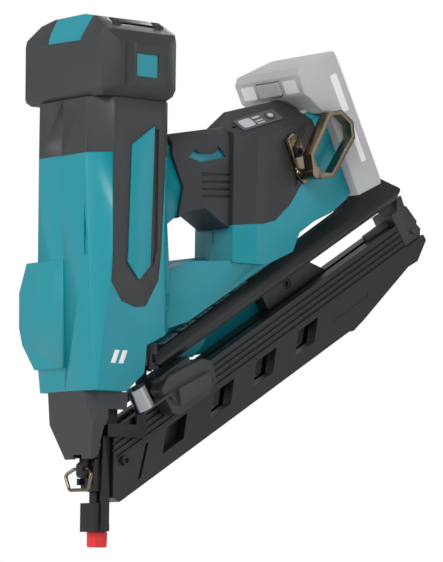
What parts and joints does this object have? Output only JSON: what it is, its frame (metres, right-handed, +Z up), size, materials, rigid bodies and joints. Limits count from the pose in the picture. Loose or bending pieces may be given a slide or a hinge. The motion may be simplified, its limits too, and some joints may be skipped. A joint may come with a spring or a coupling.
{
  "type": "cordless finish nailer",
  "caption": "Cordless angled finish nailer with an air-spring drive, slanted nail magazine, contact foot, belt hook and slide-on battery pack.",
  "frame": {"origin": "middle of the nail exit at the tip of the contact foot, on the driver's axis", "axes": "+Z up the driver's axis to the cap, +X back along the handle to the battery, +Y to the tool's right-hand side"},
  "size_m": [0.3153, 0.105, 0.362],
  "materials": {
    "teal_plastic": "moulded nylon, fine texture, teal",
    "black_plastic": "moulded glass-filled nylon, black",
    "grip_rubber": "soft overmoulded elastomer, charcoal",
    "badge_teal": "smooth insert, teal",
    "black_steel": "black oxide and e-coat steel",
    "magazine_black": "black anodised aluminium",
    "bare_steel": "ground steel",
    "bronze_steel": "bronze-tinted plated steel",
    "red_tip": "soft red elastomer",
    "light_grey_plastic": "pale grey pack housing",
    "panel_grey": "printed membrane",
    "aluminium": "die-cast and machined",
    "copper": "enamelled copper",
    "seal_rubber": "nitrile",
    "board_green": "potted circuit board",
    "cell_wrap": "wrapped cells"
  },
  "bodies": {
    "frame": {"housing_left": "teal_plastic", "housing_right": "teal_plastic", "shroud_left": "black_plastic", "shroud_right": "black_plastic", "base_cover_left": "black_plastic", "base_cover_right": "black_plastic", "shroud_inlays": "badge_teal", "cap_badge": "badge_teal", "cap_side_badges": "badge_teal", "top_cap": "black_plastic", "cap_screws": "black_steel", "housing_screws": "black_steel", "frame_screws": "black_steel", "pressure_chamber": "aluminium", "drive_cylinder": "aluminium", "bumper": "seal_rubber", "gearbox_case": "bare_steel", "shaft_bearings": "bare_steel", "motor_stator": "bare_steel", "motor_windings": "copper", "driver_guide": "black_steel", "nose_cover": "black_plastic", "latch_pin": "bare_steel", "magazine_side_left": "magazine_black", "magazine_side_right": "magazine_black", "magazine_rail_left": "magazine_black", "magazine_rail_right": "magazine_black", "magazine_tail": "black_plastic", "magazine_arm": "magazine_black", "arm_bracket": "black_plastic", "spring_strip": "bare_steel", "grip_left": "grip_rubber", "grip_right": "grip_rubber", "status_panel": "panel_grey", "controller_board": "board_green", "trigger_switch": "black_plastic", "hook_bracket": "bronze_steel"},
    "driver": {"piston": "aluminium", "piston_seals": "seal_rubber", "driver_blade": "bare_steel"},
    "lifter": {"lifter_wheel": "bare_steel", "lifter_pins": "bare_steel", "planet_carrier": "bare_steel", "planet_gears": "bare_steel"},
    "rotor": {"motor_rotor": "bare_steel", "cooling_fan": "black_plastic"},
    "contact": {"contact_foot": "black_steel", "no_mar_tip": "red_tip"},
    "dial": {"depth_dial": "black_plastic"},
    "latch": {"latch_lever": "black_steel"},
    "bail": {"wire_bail": "bronze_steel"},
    "door": {"nose_door": "black_steel"},
    "pusher_body": {"pusher": "black_plastic"},
    "roll": {"spring_roll": "bare_steel"},
    "trigger_body": {"trigger": "black_plastic"},
    "mode_key": {"mode_button": "panel_grey"},
    "battery": {"battery_pack": "light_grey_plastic", "battery_cells": "cell_wrap"},
    "battery_key": {"battery_button": "light_grey_plastic"},
    "hook": {"belt_hook": "bronze_steel"}
  },
  "joints": [
    {"name": "contact_slide", "type": "slide", "parent": "frame", "child": "contact", "axis": [0, 0, 1], "range_m": [0, 0.0065], "stiffness_N_per_m": 300, "springref_m": -0.01},
    {"name": "dial_turn", "type": "hinge", "parent": "frame", "child": "dial", "pos_m": [0.024, -0.025, 0.134], "axis": [0, 0, 1], "range_deg": [-180, 180]},
    {"name": "trigger_pull", "type": "hinge", "parent": "frame", "child": "trigger_body", "pos_m": [0.055, 0, 0.24], "axis": [0, -1, 0], "range_deg": [0, 11], "stiffness_Nm_per_rad": 0.3, "springref_deg": -11.46},
    {"name": "latch_swing", "type": "hinge", "parent": "frame", "child": "latch", "pos_m": [-0.0115, 0, 0.063], "axis": [0, 1, 0], "range_deg": [0, 28]},
    {"name": "bail_swing", "type": "hinge", "parent": "latch", "child": "bail", "pos_m": [-0.0134, 0, 0.053], "axis": [0, 1, 0], "range_deg": [0, 60]},
    {"name": "door_swing", "type": "hinge", "parent": "frame", "child": "door", "pos_m": [-0.0085, 0, 0.0588], "axis": [0, 1, 0], "range_deg": [0, 22.4]},
    {"name": "piston_drive", "type": "slide", "parent": "frame", "child": "driver", "axis": [0, 0, -1], "range_m": [0, 0.09]},
    {"name": "lifter_turn", "type": "hinge", "parent": "frame", "child": "lifter", "pos_m": [0, 0.0232, 0.158], "axis": [1, 0, 0], "range_deg": [0, 287]},
    {"name": "rotor_turn", "type": "hinge", "parent": "frame", "child": "rotor", "pos_m": [0.05, 0.0232, 0.158], "axis": [1, 0, 0], "range_deg": [0, 1233]},
    {"name": "pusher_slide", "type": "slide", "parent": "frame", "child": "pusher_body", "axis": [0.8434, 0, 0.5373], "range_m": [0, 0.19], "stiffness_N_per_m": 20, "springref_m": -0.4},
    {"name": "roll_spin", "type": "hinge", "parent": "pusher_body", "child": "roll", "pos_m": [0.01638, -0.025, 0.1016], "axis": [-0.5373, 0, 0.8434], "range_deg": [0, 1495]},
    {"name": "battery_slide", "type": "slide", "parent": "frame", "child": "battery", "axis": [-0.4384, 0, 0.8988], "range_m": [0, 0.075]},
    {"name": "battery_key_press", "type": "slide", "parent": "battery", "child": "battery_key", "axis": [0.8988, 0, 0.4384], "range_m": [0, 0.0015], "stiffness_N_per_m": 400, "springref_m": -0.002},
    {"name": "mode_key_press", "type": "slide", "parent": "frame", "child": "mode_key", "axis": [0.2507, 0.6217, -0.742], "range_m": [0, 0.0008], "stiffness_N_per_m": 400, "springref_m": -0.001},
    {"name": "hook_swivel", "type": "hinge", "parent": "frame", "child": "hook", "pos_m": [0.1505, -0.04, 0.265], "axis": [0, 1, 0], "range_deg": [-90, 0]}
  ],
  "couplings": [
    {"joint": "lifter_turn", "follows": "piston_drive", "rad_per_m": 55.556},
    {"joint": "rotor_turn", "follows": "piston_drive", "rad_per_m": 238.89},
    {"joint": "roll_spin", "follows": "pusher_slide", "rad_per_m": 136.99},
    {"joint": "door_swing", "follows": "latch_swing", "ratio": 0.8}
  ]
}
